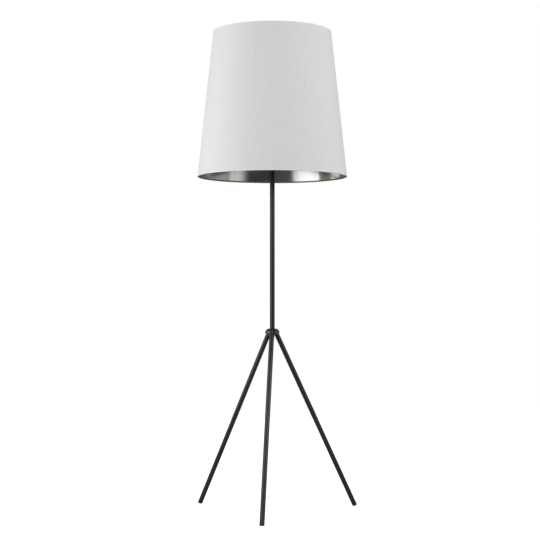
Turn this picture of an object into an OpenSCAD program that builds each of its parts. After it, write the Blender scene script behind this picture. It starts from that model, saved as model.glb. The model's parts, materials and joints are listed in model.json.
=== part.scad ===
// Tripod floor lamp: three tube legs in a turned hub, one straight stem,
// a rotary-switch socket with a harp, and a tall tapered drum shade on a spider.
// Millimetres, +Z up. The floor is z = 0 and the front leg points along -Y.

/* [Overall] */
// Height from the floor to the top edge of the shade
total_h = 1765; // [1450:1:2120]
// Height of the hub's underside above the floor
hub_z = 645; // [500:5:800]

/* [Legs] */
// Outside diameter of a leg tube
leg_d = 18; // [12:0.5:22]
// Wall of a leg tube
leg_wall = 1.2; // [1:0.1:2]
// Lean of a leg from the vertical
leg_lean = 26.5; // [20:0.1:32]
// Depth to which a leg is let into the hub
leg_seat = 6; // [4:0.5:8]
// Clear gap between a leg and the corner of the hub nut
leg_nut_gap = 2; // [1:0.5:5]
// Thread diameter of a leg stud
stud_d = 8; // [5:0.5:9]
// Length of a stud beyond the leg's end, into the hub
stud_reach = 8; // [5:1:10]
// Length of the threaded insert in the top of a leg
insert_l = 16; // [12:1:30]

/* [Feet] */
// Height of a foot's head below the tube
foot_h = 6; // [4:0.5:12]
// Length of a foot's spigot inside the tube
foot_spigot = 14; // [8:1:25]
// Radius of a foot's lower edge
foot_edge = 1.5; // [1:0.1:2.5]
// Depth of the flat that stands on the floor
foot_flat = 0.8; // [0.3:0.1:1]

/* [Hub] */
// Height of the hub
hub_h = 25; // [23:1:40]
// Rim of the hub outside the leg seats
hub_rim = 1; // [1:0.5:6]
// Chamfer of the hub's upper edge
hub_top_cut = 9; // [4:0.5:10]
// Chamfer of the hub's lower edge
hub_low_cut = 9; // [1:0.5:9]
// Depth to which the stem is let into the hub
stem_seat = 4; // [2:0.5:6]
// Thickness of the washer under the hub
washer_t = 1.5; // [1:0.1:3]
// Wall of the hub nut at its flats
nut_wall = 2; // [1.5:0.1:4]
// Thickness of the hub nut
nut_t = 5; // [3:0.5:8]

/* [Stem] */
// Outside diameter of the stem tube
stem_d = 18; // [14:0.5:22]
// Wall of the stem tube
stem_wall = 1.2; // [0.8:0.1:1.8]
// Outside diameter of the threaded pipe inside the stem
pipe_d = 10; // [9:0.1:12]
// Wall of the threaded pipe
pipe_wall = 1.5; // [1:0.1:1.6]
// Height of the cap's flange on the stem
stem_cap_h = 4; // [3:0.5:10]
// Length of the stem cap's spigot
stem_cap_spigot = 6; // [4:0.5:12]

/* [Cord inlet] */
// Bore of the bushing that the supply cord enters
inlet_bore = 6.4; // [5:0.1:6.6]
// Length of the bushing's bore below the pipe
inlet_l = 5; // [4:0.5:10]
// Wall of the bushing around the pipe
inlet_wall = 2; // [1.5:0.1:4]
// Length of pipe that the bushing grips
inlet_grip = 4; // [3:0.5:6]

/* [Harp] */
// Height from the saddle to the seat of the shade
harp_rise = 312; // [250:1:340]
// Diameter of the harp wire
wire_d = 4; // [3:0.1:5]
// Half the width of the harp at its waist
harp_r = 57; // [50:1:70]
// Clear gap between the socket and a locking sleeve
harp_foot_gap = 3.15; // [1:0.05:6]
// Bend radius of the harp's shoulders
harp_bend_r = 30; // [15:1:32]
// Slope of the harp's shoulders
harp_bend = 35; // [30:1:45]
// Straight length above each harp foot
harp_leg = 30; // [28:1:50]
// Height of the posts on the saddle
post_h = 12; // [8:0.5:14]
// Thickness of the saddle strip
saddle_t = 2; // [1.5:0.1:3]
// Width of the saddle strip
saddle_w = 12; // [9:0.5:16]
// Outside diameter of a locking sleeve
sleeve_d = 7.5; // [6.5:0.1:9]
// Length of a locking sleeve
sleeve_l = 16; // [12:0.5:18]
// Lift of a sleeve above the saddle at rest
sleeve_rest = 4; // [2:0.5:5]
// Thread diameter of the stud that carries the shade
seat_stud_d = 6.35; // [5:0.05:7]
// Height of the threaded stud
seat_stud_h = 12; // [10:0.5:14]

/* [Socket] */
// Wall of the socket shell
shell_wall = 0.8; // [0.6:0.1:1.2]
// Height of the socket above the saddle
socket_h = 68; // [62:1:76]
// Height of the switch axis above the saddle
switch_z = 33; // [30:1:36]
// Diameter of the switch shaft
shaft_d = 4; // [3:0.5:5]
// Wall of the insulating liner
liner_wall = 0.8; // [0.5:0.1:1]
// Wall of the screw shell
screw_wall = 0.5; // [0.4:0.1:0.8]

/* [Bulb] */
// Outside diameter of the bulb's screw cap
cap_d = 26.4; // [24:0.1:32]
// Diameter of the glass globe
globe_d = 60; // [45:1:80]
// Height of the globe's centre above its neck
globe_rise = 52; // [46:1:70]
// Thickness of the glass
glass_t = 1; // [0.8:0.1:1.5]

/* [Shade] */
// Height of the shade
shade_h = 536; // [430:1:650]
// Diameter of the shade's top edge
shade_top_d = 436; // [360:1:530]
// Diameter of the shade's bottom edge
shade_bottom_d = 552; // [450:1:670]
// Thickness of the outer fabric
cover_t = 0.6; // [0.4:0.1:1]
// Thickness of the stiff metallic lining
lining_t = 0.8; // [0.5:0.1:1.5]
// Thickness of the hem tape
hem_t = 0.4; // [0.3:0.1:0.8]
// Height of the hem tape
hem_h = 5; // [4.5:0.5:12]
// Diameter of the wire rings
ring_d = 3.2; // [2.5:0.1:3.6]
// Drop of the spider's seat below the shade's top edge
spider_drop = 26; // [22:1:60]
// Diameter of a spider arm
arm_d = 4; // [3:0.1:4.4]
// Diameter of the spider's washer
spider_d = 25; // [22:0.5:34]
// Thickness of the spider's washer
spider_t = 2; // [1.5:0.1:3]

/* [Finial] */
// Diameter of the finial's base
finial_d = 16; // [14:0.5:18]
// Diameter of the finial's ball
finial_ball_d = 13; // [11:0.5:15]
// Thickness of the finial's base
finial_base = 3; // [2:0.5:4]
// Length of the finial's neck
finial_neck = 3; // [2:0.5:5]

/* [Hidden] */
$fn = 96;

// Clearances: parts assembled tight, parts that turn or slide, and cuts past a face
fit = 0.1;
run = 0.3;
cut = 1;

// Sides of the harp wire, and its steps along a shoulder bend and a quarter of the arch
wire_sides = 12;
bend_steps = 8;
arch_steps = 24;

// Finishes
black = [0.09, 0.09, 0.09];
steel = [0.72, 0.73, 0.75];
brass = [0.80, 0.66, 0.36];
rubber = [0.05, 0.05, 0.05];
phenolic = [0.20, 0.13, 0.09];
white_cloth = [0.93, 0.93, 0.93];
silver_foil = [0.75, 0.76, 0.78];

// Azimuths of the legs and of the spider's arms about the stem
front = -90;
right = 30;
left = 150;
leg_azimuths = [front, right, left];
arm_azimuths = [90, 210, 330];

// Legs: a leg's own frame has its origin where its axis crosses the hub's underside, +Z up the leg
leg_r = leg_d / 2;
leg_bore = leg_d - 2 * leg_wall;
nut_af = pipe_d + 2 * nut_wall;
nut_corner_r = nut_af / 2 / cos(30);
washer_d = nut_af + 1;
leg_root_r = nut_corner_r + leg_nut_gap + leg_r / cos(leg_lean);
foot_end_z = (leg_r - foot_edge) * sin(leg_lean) + foot_edge * (1 - cos(leg_lean)) - foot_flat;
leg_run = (hub_z - foot_end_z) / cos(leg_lean);
foot_end_r = leg_root_r + leg_run * sin(leg_lean);
foot_reach = foot_end_r + (leg_r - foot_edge) * cos(leg_lean) + foot_edge * (1 - sin(leg_lean));

// The stem stands behind the middle of the footprint, which is the origin
axis_y = (foot_reach - shade_bottom_d / 2) / 2;

// Hub, from its seats outwards
hub_r = leg_root_r - leg_seat * sin(leg_lean) + leg_r * cos(leg_lean) + hub_rim;
hub_top = hub_z + hub_h;
stem_bore = stem_d - 2 * stem_wall;

// Heights down from the shade's top edge
shade_z = total_h - shade_h;
seat_z = total_h - spider_drop;
saddle_top = seat_z - harp_rise;
saddle_z = saddle_top - saddle_t;
stem_top = saddle_z - stem_cap_h;
saddle_eye_d = pipe_d + 12;
boss_under = 1;
boss_over = 3;
boss_h = boss_under + wire_d + boss_over;
boss_d = wire_d + 6;
harp_top = seat_z - boss_over - wire_d / 2;

// Threaded pipe and the inlet below it
pipe_bore = pipe_d - 2 * pipe_wall;
inlet_gap = 1;
neck_h = 8;
pipe_over = 2;
pipe_z = hub_z - washer_t - nut_t - inlet_gap - inlet_grip;
pipe_top = saddle_top + neck_h + pipe_over;
inlet_z = pipe_z - inlet_l;
inlet_d = pipe_d + 2 * inlet_wall;
inlet_lip = 1;
stem_cap_edge = 1;

// Socket, from the bulb's cap outwards
screw_d = cap_d + 2 * run + 2 * screw_wall;
liner_d = screw_d + 2 * run + 2 * liner_wall;
shell_d = liner_d + 2 * fit + 2 * shell_wall;
cap_wall = 1;
cap_outer_d = shell_d + 2 * fit + 2 * cap_wall;
harp_foot_x = cap_outer_d / 2 + harp_foot_gap + sleeve_d / 2;

// Socket, measured up from the saddle
cap_flare_z = 14;
cap_top_z = 20;
shell_foot_z = 15;
body_z = 20;
body_top_z = 44;
body_d = liner_d - 2 * liner_wall - 2 * fit;
screw_top_z = 64;
contact_t = 1.5;
contact_d = 8;
neck_d = pipe_d + 6;
set_screw_d = 3;
terminal_z = 28;
terminal_pocket_x = 8;
terminal_tip_x = 3.5;
terminal_under_head_x = 8.5;
terminal_head_d = 6;
terminal_head_t = 2.5;
terminal_room = 1;
shaft_in = 8;
knob_gap = 2;
knob_collar_d = 9;
knob_collar_l = 5;
knob_foot = 2;
knob_w = 14;
knob_t = 4.5;
knob_straight = 5;

// Bulb, measured up from the saddle
bulb_tip_z = body_top_z + contact_t + run;
bulb_tip_t = 1.5;
bulb_tip_d = 9;
bulb_cone_h = 3;
bulb_cap_z = bulb_tip_z + bulb_tip_t + bulb_cone_h;
bulb_over = 2;
bulb_neck_z = socket_h + bulb_over;
globe_r = globe_d / 2;
neck_r = cap_d / 2;

// Shade wall, as horizontal insets from its outer face
wire_inset = hem_t + cover_t + lining_t + fit;
hem_w = wire_inset + ring_d + fit + hem_t;
ring_low_z = shade_z + hem_t + fit + ring_d / 2;
ring_high_z = total_h - hem_t - fit - ring_d / 2;

function shade_r(z) =
    shade_bottom_d / 2 + (shade_top_d - shade_bottom_d) / 2 * (z - shade_z) / shade_h;
function ring_r(z) = shade_r(z) - wire_inset - ring_d / 2;

// Spider and finial
arm_inset = 3;
finial_neck_d = 9.4;
finial_ball_sink = 1;

// Everything is modelled about the stem axis and placed once
module place() { translate([0, axis_y, 0]) children(); }

module on_leg(azimuth) {
    rotate([0, 0, azimuth]) translate([leg_root_r, 0, hub_z]) rotate([0, -leg_lean, 0]) children();
}

module rod(d, z0, z1) { translate([0, 0, z0]) cylinder(d = d, h = z1 - z0); }

module tube(od, id, z0, z1) {
    difference() {
        rod(od, z0, z1);
        rod(id, z0 - cut, z1 + cut);
    }
}

// Half section of a turned puck with both edges rounded
module puck_section(r, h, top_e, low_e) {
    square([r - top_e, h]);
    square([r - low_e, h / 2]);
    translate([0, low_e]) square([r, h - low_e - top_e]);
    translate([r - top_e, h - top_e]) circle(top_e);
    translate([r - low_e, low_e]) circle(low_e);
}

// Half section of the hub, with both edges chamfered
module hub_section() {
    polygon([
        [0, 0], [hub_r - hub_low_cut, 0], [hub_r, hub_low_cut],
        [hub_r, hub_h - hub_top_cut], [hub_r - hub_top_cut, hub_h], [0, hub_h]
    ]);
}

// ---- base ----

module hub() {
    color(black) difference() {
        translate([0, 0, hub_z]) rotate_extrude() hub_section();
        rod(pipe_d + 4 * fit, hub_z - cut, hub_top + cut);
        rod(stem_d + 2 * fit, hub_top - stem_seat, hub_top + cut);
        for (a = leg_azimuths) on_leg(a) {
            rod(leg_d + 4 * fit, -3 * leg_d, leg_seat);
            rod(stud_d + 2 * fit, 0, leg_seat + stud_reach);
        }
    }
}

module hub_washer() { color(steel) tube(washer_d, pipe_d + 4 * fit, hub_z - washer_t, hub_z); }

module hub_nut() {
    nut_z = hub_z - washer_t - nut_t;
    color(steel) difference() {
        translate([0, 0, nut_z]) cylinder(r = nut_corner_r, h = nut_t, $fn = 6);
        rod(pipe_d + 2 * fit, nut_z - cut, nut_z + nut_t + cut);
    }
}

module cord_bushing() {
    color(rubber) difference() {
        translate([0, 0, inlet_z]) rotate_extrude()
            puck_section(inlet_d / 2, inlet_l + inlet_grip, inlet_lip, inlet_lip);
        rod(pipe_d + 2 * fit, pipe_z, pipe_z + inlet_grip + cut);
        rod(inlet_bore, inlet_z - cut, pipe_z + cut);
        translate([0, 0, inlet_z]) cylinder(d1 = inlet_bore + 2 * inlet_lip, d2 = inlet_bore, h = inlet_lip);
    }
}

module leg(azimuth) {
    color(black) on_leg(azimuth) tube(leg_d, leg_bore, foot_h - leg_run, leg_seat);
}

module leg_inserts() {
    color(steel) for (a = leg_azimuths) on_leg(a)
        tube(leg_bore - 2 * fit, stud_d + 2 * fit, leg_seat - insert_l, leg_seat);
}

module leg_studs() {
    color(steel) for (a = leg_azimuths) on_leg(a)
        rod(stud_d, leg_seat - insert_l, leg_seat + stud_reach - fit);
}

module foot(azimuth) {
    color(rubber) difference() {
        on_leg(azimuth) translate([0, 0, -leg_run]) {
            rotate_extrude() puck_section(leg_r, foot_h, fit, foot_edge);
            rod(leg_bore - 2 * fit, foot_h / 2, foot_h + foot_spigot);
        }
        translate([-foot_reach - leg_d, -foot_reach - leg_d, -leg_d])
            cube([2 * (foot_reach + leg_d), 2 * (foot_reach + leg_d), leg_d]);
    }
}

// ---- column ----

module stem() { color(black) tube(stem_d, stem_bore, hub_top - stem_seat, stem_top); }

module lamp_pipe() { color(steel) tube(pipe_d, pipe_bore, pipe_z, pipe_top); }

module stem_cap() {
    color(black) difference() {
        union() {
            rod(stem_bore - 2 * fit, stem_top - stem_cap_spigot, stem_top + stem_cap_h / 2);
            translate([0, 0, stem_top]) rotate_extrude()
                puck_section(stem_d / 2, stem_cap_h, stem_cap_edge, fit);
        }
        rod(pipe_d + 4 * fit, stem_top - stem_cap_spigot - cut, saddle_z + cut);
    }
}

// ---- harp ----

module harp_saddle() {
    color(brass) difference() {
        union() {
            rod(saddle_eye_d, saddle_z, saddle_top);
            translate([-harp_foot_x, -saddle_w / 2, saddle_z])
                cube([2 * harp_foot_x, saddle_w, saddle_t]);
            for (side = [-1, 1]) translate([side * harp_foot_x, 0, 0]) {
                rod(saddle_w, saddle_z, saddle_top);
                rod(wire_d, saddle_z, saddle_top + post_h);
            }
        }
        rod(pipe_d + 4 * fit, saddle_z - cut, saddle_top + cut);
    }
}

// One closed wire swept along points [x, z, lean] in the XZ plane, lean being the heading from +Z
module swept_wire(path, d) {
    n = len(path);
    ring = [for (k = [0:wire_sides - 1]) k * 360 / wire_sides];
    points = [for (p = path) for (a = ring) [
        p[0] + d / 2 * cos(a) * cos(p[2]), d / 2 * sin(a), p[1] - d / 2 * cos(a) * sin(p[2])
    ]];
    last = (n - 1) * wire_sides;
    sides = [for (i = [0:n - 2]) for (k = [0:wire_sides - 1])
        let (a = i * wire_sides + k, b = i * wire_sides + (k + 1) % wire_sides)
        [a, a + wire_sides, b + wire_sides, b]];
    first_cap = [for (k = [0:wire_sides - 1]) k];
    last_cap = [for (k = [wire_sides - 1:-1:0]) last + k];
    polyhedron(points, concat(sides, [first_cap, last_cap]));
}

// The harp's right half from its foot to the top of its arch: shoulder out, shoulder up, arch
function harp_half() =
    let (
        r = harp_bend_r,
        z1 = saddle_top + post_h + harp_leg,
        out = r * (1 - cos(harp_bend)),
        slope_h = (harp_r - harp_foot_x - 2 * out) / tan(harp_bend),
        z2 = z1 + 2 * r * sin(harp_bend) + slope_h,
        step = harp_bend / bend_steps
    )
    concat(
        [[harp_foot_x, saddle_top + post_h, 0]],
        [for (i = [0:bend_steps]) let (t = i * step)
            [harp_foot_x + r * (1 - cos(t)), z1 + r * sin(t), t]],
        [for (i = [bend_steps:-1:0]) let (t = i * step)
            [harp_r - r * (1 - cos(t)), z2 - r * sin(t), t]],
        [for (i = [0:arch_steps]) let (t = i * 90 / arch_steps)
            [harp_r * cos(t), harp_top - harp_r + harp_r * sin(t), -t]]
    );

module harp() {
    half = harp_half();
    other_half = [for (i = [len(half) - 2:-1:0]) [-half[i][0], half[i][1], -180 - half[i][2]]];
    color(brass) swept_wire(concat(half, other_half), wire_d);
}

module harp_stud() {
    color(brass) difference() {
        union() {
            rod(boss_d, seat_z - boss_h, seat_z);
            rod(seat_stud_d, seat_z - cut, seat_z + seat_stud_h);
        }
        translate([0, 0, harp_top - harp_r]) rotate([90, 0, 0])
            rotate_extrude() translate([harp_r, 0]) circle(d = wire_d + fit);
    }
}

module harp_sleeve(side) {
    color(brass) translate([side * harp_foot_x, 0, 0])
        tube(sleeve_d, wire_d + 2 * run, saddle_top + sleeve_rest, saddle_top + sleeve_rest + sleeve_l);
}

// ---- socket and switch, measured up from the saddle ----

module on_saddle() { translate([0, 0, saddle_top]) children(); }

// Runs from the stem axis out through the socket's front wall, along -Y
module on_switch() { translate([0, 0, switch_z]) rotate([90, 0, 0]) children(); }

module socket_cap() {
    inner_r = shell_d / 2 + fit;
    color(brass) on_saddle() difference() {
        rotate_extrude() polygon([
            [pipe_d / 2 + fit, 0], [neck_d / 2, 0], [neck_d / 2, neck_h],
            [cap_outer_d / 2, cap_flare_z], [cap_outer_d / 2, cap_top_z],
            [inner_r, cap_top_z], [inner_r, cap_flare_z],
            [neck_d / 2 - cap_wall, neck_h + cap_wall], [pipe_d / 2 + fit, neck_h + cap_wall]
        ]);
        translate([0, 0, neck_h / 2]) rotate([90, 0, 0]) rod(set_screw_d + 2 * fit, 0, neck_d);
    }
}

module cap_set_screw() {
    color(steel) on_saddle() translate([0, 0, neck_h / 2]) rotate([90, 0, 0])
        rod(set_screw_d, pipe_d / 2 + fit, neck_d / 2);
}

module socket_shell() {
    color(brass) on_saddle() difference() {
        tube(shell_d, shell_d - 2 * shell_wall, shell_foot_z, socket_h);
        on_switch() rod(shaft_d + 4 * run, 0, shell_d);
    }
}

module socket_insulator() {
    color(phenolic) on_saddle() difference() {
        tube(liner_d, liner_d - 2 * liner_wall, body_z, socket_h - cut);
        on_switch() rod(shaft_d + 4 * run, 0, shell_d);
    }
}

// Runs from the stem axis out to one side of the socket
module on_terminal(side) { translate([0, 0, terminal_z]) rotate([0, side * 90, 0]) children(); }

module socket_body() {
    pocket_w = terminal_head_d + 2 * terminal_room;
    color(phenolic) on_saddle() difference() {
        rod(body_d, body_z, body_top_z);
        on_switch() rod(shaft_d + 2 * run, shaft_in - run, shell_d);
        for (side = [-1, 1]) on_terminal(side) {
            translate([0, 0, terminal_pocket_x + body_d / 2])
                cube([pocket_w, pocket_w, body_d], center = true);
            rod(set_screw_d + 2 * fit, terminal_tip_x - fit, body_d);
        }
    }
}

module terminal_screws() {
    color(steel) on_saddle() for (side = [-1, 1]) on_terminal(side) {
        rod(set_screw_d, terminal_tip_x, terminal_under_head_x);
        rod(terminal_head_d, terminal_under_head_x, terminal_under_head_x + terminal_head_t);
    }
}

module screw_shell() {
    color(brass) on_saddle() difference() {
        rod(screw_d, body_top_z, screw_top_z);
        rod(screw_d - 2 * screw_wall, body_top_z + screw_wall, screw_top_z + cut);
        rod(cap_d / 2, body_top_z - cut, screw_top_z);
    }
}

module centre_contact() { color(brass) on_saddle() rod(contact_d, body_top_z, body_top_z + contact_t); }

module switch_shaft() {
    color(steel) on_saddle() on_switch() rod(shaft_d, shaft_in, shell_d / 2 + knob_gap + knob_collar_l);
}

module switch_knob() {
    k0 = shell_d / 2 + knob_gap;
    color(rubber) on_saddle() on_switch() difference() {
        union() {
            rod(knob_collar_d, k0, k0 + knob_collar_l);
            translate([-knob_w / 2, -knob_t / 2, k0 + knob_foot]) cube([knob_w, knob_t, knob_straight]);
            translate([0, knob_t / 2, k0 + knob_foot + knob_straight]) rotate([90, 0, 0])
                cylinder(d = knob_w, h = knob_t);
        }
        rod(shaft_d + fit, k0 - cut, k0 + knob_collar_l + fit);
    }
}

// ---- bulb ----

// Half section of the globe, drawn inwards by an inset: a ball with a cone tangent to it
module globe_section(inset) {
    r = globe_r - inset;
    foot_r = neck_r - inset;
    reach = norm([foot_r, globe_rise]);
    turn = atan2(globe_rise, foot_r) - acos(r / reach);
    intersection() {
        union() {
            translate([0, globe_rise]) circle(r);
            polygon([[0, 0], [foot_r, 0], [r * cos(turn), globe_rise - r * sin(turn)], [0, globe_rise]]);
        }
        square([globe_d, 2 * globe_rise]);
    }
}

module bulb_globe() {
    color("white") on_saddle() translate([0, 0, bulb_neck_z]) rotate_extrude() difference() {
        globe_section(0);
        globe_section(glass_t);
    }
}

module bulb_cap() {
    color(steel) on_saddle() tube(cap_d, cap_d - 2 * screw_wall, bulb_cap_z, bulb_neck_z);
}

module bulb_insulator() {
    color(rubber) on_saddle() translate([0, 0, bulb_tip_z + bulb_tip_t])
        cylinder(d1 = bulb_tip_d, d2 = cap_d - 2 * screw_wall, h = bulb_cone_h);
}

module bulb_contact() {
    color(steel) on_saddle() rod(bulb_tip_d, bulb_tip_z, bulb_tip_z + bulb_tip_t);
}

// ---- shade ----

// Conical band between two heights, inset from the shade's outer face
module shade_section(inset, t, z0, z1) {
    polygon([
        [shade_r(z0) - inset - t, z0], [shade_r(z0) - inset, z0],
        [shade_r(z1) - inset, z1], [shade_r(z1) - inset - t, z1]
    ]);
}

module shade_cover() {
    color(white_cloth) rotate_extrude()
        shade_section(hem_t, cover_t, shade_z + hem_t, total_h - hem_t);
}

module shade_lining() {
    color(silver_foil) rotate_extrude()
        shade_section(hem_t + cover_t, lining_t, shade_z + hem_t, total_h - hem_t);
}

// Tape folded over an edge: z_edge is the shade's edge and z_in the tape's inner end
module hem(z_edge, z_in) {
    fold = z_edge + sign(z_in - z_edge) * hem_t;
    rotate_extrude() {
        shade_section(0, hem_t, min(z_edge, z_in), max(z_edge, z_in));
        shade_section(0, hem_w, min(z_edge, fold), max(z_edge, fold));
        shade_section(hem_w - hem_t, hem_t, min(z_edge, z_in), max(z_edge, z_in));
    }
}

module wire_ring(z, grow) {
    translate([0, 0, z]) rotate_extrude() translate([ring_r(z), 0]) circle(d = ring_d + grow);
}

// Spider arms run from the washer up to the top ring
module spider_arms(d) {
    r0 = spider_d / 2 - arm_inset;
    z0 = seat_z + spider_t / 2;
    rise = ring_high_z - z0;
    reach = ring_r(ring_high_z) - r0;
    for (a = arm_azimuths) rotate([0, 0, a]) translate([r0, 0, z0])
        rotate([0, 90 - atan2(rise, reach), 0]) rod(d, 0, norm([rise, reach]));
}

module shade_spider() {
    color(steel) difference() {
        union() {
            rod(spider_d, seat_z, seat_z + spider_t);
            spider_arms(arm_d);
        }
        rod(seat_stud_d + 2 * run, seat_z - cut, seat_z + spider_t + cut);
        wire_ring(ring_high_z, fit);
    }
}

module shade_top_ring() { color(steel) wire_ring(ring_high_z, 0); }

module shade_bottom_ring() { color(steel) wire_ring(ring_low_z, 0); }

module shade_top_trim() {
    color(white_cloth) difference() {
        hem(total_h, total_h - hem_h);
        spider_arms(arm_d + 2 * run);
    }
}

module shade_bottom_trim() { color(white_cloth) hem(shade_z, shade_z + hem_h); }

module finial() {
    ball_r = finial_ball_d / 2;
    neck_top = finial_base + finial_neck;
    color(brass) translate([0, 0, seat_z + spider_t]) difference() {
        rotate_extrude() intersection() {
            union() {
                square([finial_d / 2, finial_base]);
                square([finial_neck_d / 2, neck_top + ball_r]);
                translate([0, neck_top + ball_r - finial_ball_sink]) circle(ball_r);
            }
            square([finial_d, 3 * finial_d]);
        }
        rod(seat_stud_d + 2 * run, -cut, seat_stud_h - spider_t + run);
    }
}

place() hub();
place() hub_washer();
place() hub_nut();
place() cord_bushing();
place() leg(front);  // leg_front
place() leg(right);  // leg_right
place() leg(left);  // leg_left
place() leg_inserts();
place() leg_studs();
place() foot(front);  // foot_front
place() foot(right);  // foot_right
place() foot(left);  // foot_left
place() stem();
place() lamp_pipe();
place() stem_cap();
place() harp_saddle();
place() harp();
place() harp_stud();
place() harp_sleeve(-1);  // harp_sleeve_left
place() harp_sleeve(1);  // harp_sleeve_right
place() socket_cap();
place() cap_set_screw();
place() socket_shell();
place() socket_insulator();
place() socket_body();
place() terminal_screws();
place() screw_shell();
place() centre_contact();
place() switch_shaft();
place() switch_knob();
place() bulb_globe();
place() bulb_cap();
place() bulb_insulator();
place() bulb_contact();
place() shade_cover();
place() shade_lining();
place() shade_spider();
place() shade_top_ring();
place() shade_bottom_ring();
place() shade_top_trim();
place() shade_bottom_trim();
place() finial();
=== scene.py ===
"""Tripod floor lamp: the finished look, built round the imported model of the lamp.

Every piece is in metres, in the lamp's own frame: the floor is z = 0 and the front leg points
along -Y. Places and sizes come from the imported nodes; details that they don't hold are fields of
the class that builds them.
"""

import json
import logging
import math
from dataclasses import dataclass
from enum import Enum

import bmesh
import bpy
from mathutils import Matrix, Vector

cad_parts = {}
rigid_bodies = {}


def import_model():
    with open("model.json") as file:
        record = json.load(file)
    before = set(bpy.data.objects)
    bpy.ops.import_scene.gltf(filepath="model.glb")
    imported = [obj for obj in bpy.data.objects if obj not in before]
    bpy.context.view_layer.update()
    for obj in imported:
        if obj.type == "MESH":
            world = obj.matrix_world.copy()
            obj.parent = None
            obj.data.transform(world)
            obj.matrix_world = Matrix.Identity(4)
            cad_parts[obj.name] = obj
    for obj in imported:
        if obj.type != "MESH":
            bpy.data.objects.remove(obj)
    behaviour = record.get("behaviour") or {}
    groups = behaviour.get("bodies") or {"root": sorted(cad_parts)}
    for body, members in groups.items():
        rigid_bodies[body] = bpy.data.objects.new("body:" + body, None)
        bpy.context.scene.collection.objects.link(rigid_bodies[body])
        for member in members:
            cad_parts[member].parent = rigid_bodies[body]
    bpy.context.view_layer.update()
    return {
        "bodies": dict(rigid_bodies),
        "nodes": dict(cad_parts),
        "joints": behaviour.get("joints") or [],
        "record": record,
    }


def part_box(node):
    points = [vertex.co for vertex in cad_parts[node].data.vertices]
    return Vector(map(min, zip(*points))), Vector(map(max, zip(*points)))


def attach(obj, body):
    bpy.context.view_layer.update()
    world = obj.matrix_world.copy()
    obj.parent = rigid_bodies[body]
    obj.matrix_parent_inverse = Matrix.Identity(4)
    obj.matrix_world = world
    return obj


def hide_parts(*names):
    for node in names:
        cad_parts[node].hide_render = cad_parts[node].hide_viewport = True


LOG = logging.getLogger("floor_lamp")
MM = 0.001
SMOOTH_ANGLE = math.radians(35)
SAME = 1e-7  # metres within which two heights count as one
RIM_DEPTH = 1e-5  # metres within which a packed point is on a rim
TURNED_MERGE = 1e-6  # metres within which a turned mesh's points are one
PACKED_MERGE = 2e-6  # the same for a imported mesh's points
FLAT_ANGLE = math.radians(0.5)  # the most that faces of one flat may differ by
UP = Vector((0, 0, 1))

Point = tuple[float, float]
Triple = tuple[float, float, float]
Outline = list[Point]
Pattern = tuple[bpy.types.NodeSocket, bpy.types.NodeSocket]


# ---- materials ---------------------------------------------------------------------------------


class Grain(Enum):
    """How a surface was made, which decides its fine pattern."""

    POWDER_COAT = "powder coat"
    TURNED = "turned or drawn metal"
    MOULDED = "moulded"
    PRESSBOARD = "pressboard"
    WOVEN = "woven cloth"
    FOIL = "laminated foil"
    BLOWN = "blown glass"


def linear(hex_colour: str) -> tuple[float, float, float, float]:
    """Turns an sRGB colour such as "#20242A" into the linear values that a shader takes.

    Args:
        hex_colour: Six sRGB hex digits after a hash.

    Returns:
        Red, green, blue and an alpha of 1.
    """
    parts = [int(hex_colour[i : i + 2], 16) / 255 for i in (1, 3, 5)]
    red, green, blue = (p / 12.92 if p <= 0.04045 else ((p + 0.055) / 1.055) ** 2.4 for p in parts)
    return red, green, blue, 1.0


def add_node(
    tree: bpy.types.NodeTree, kind: str, inputs: dict | None = None, **settings
) -> bpy.types.Node:
    """Adds one shader node.

    Args:
        tree: The node tree that it joins.
        kind: The node's type, such as "ShaderNodeBump".
        inputs: A value, or another node's output socket, for each input by name or index.
        **settings: The node's own properties.

    Returns:
        The node.
    """
    node = tree.nodes.new(kind)
    for key, value in settings.items():
        setattr(node, key, value)
    for socket, value in (inputs or {}).items():
        if isinstance(value, bpy.types.NodeSocket):
            tree.links.new(value, node.inputs[socket])
        else:
            node.inputs[socket].default_value = value
    return node


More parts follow.
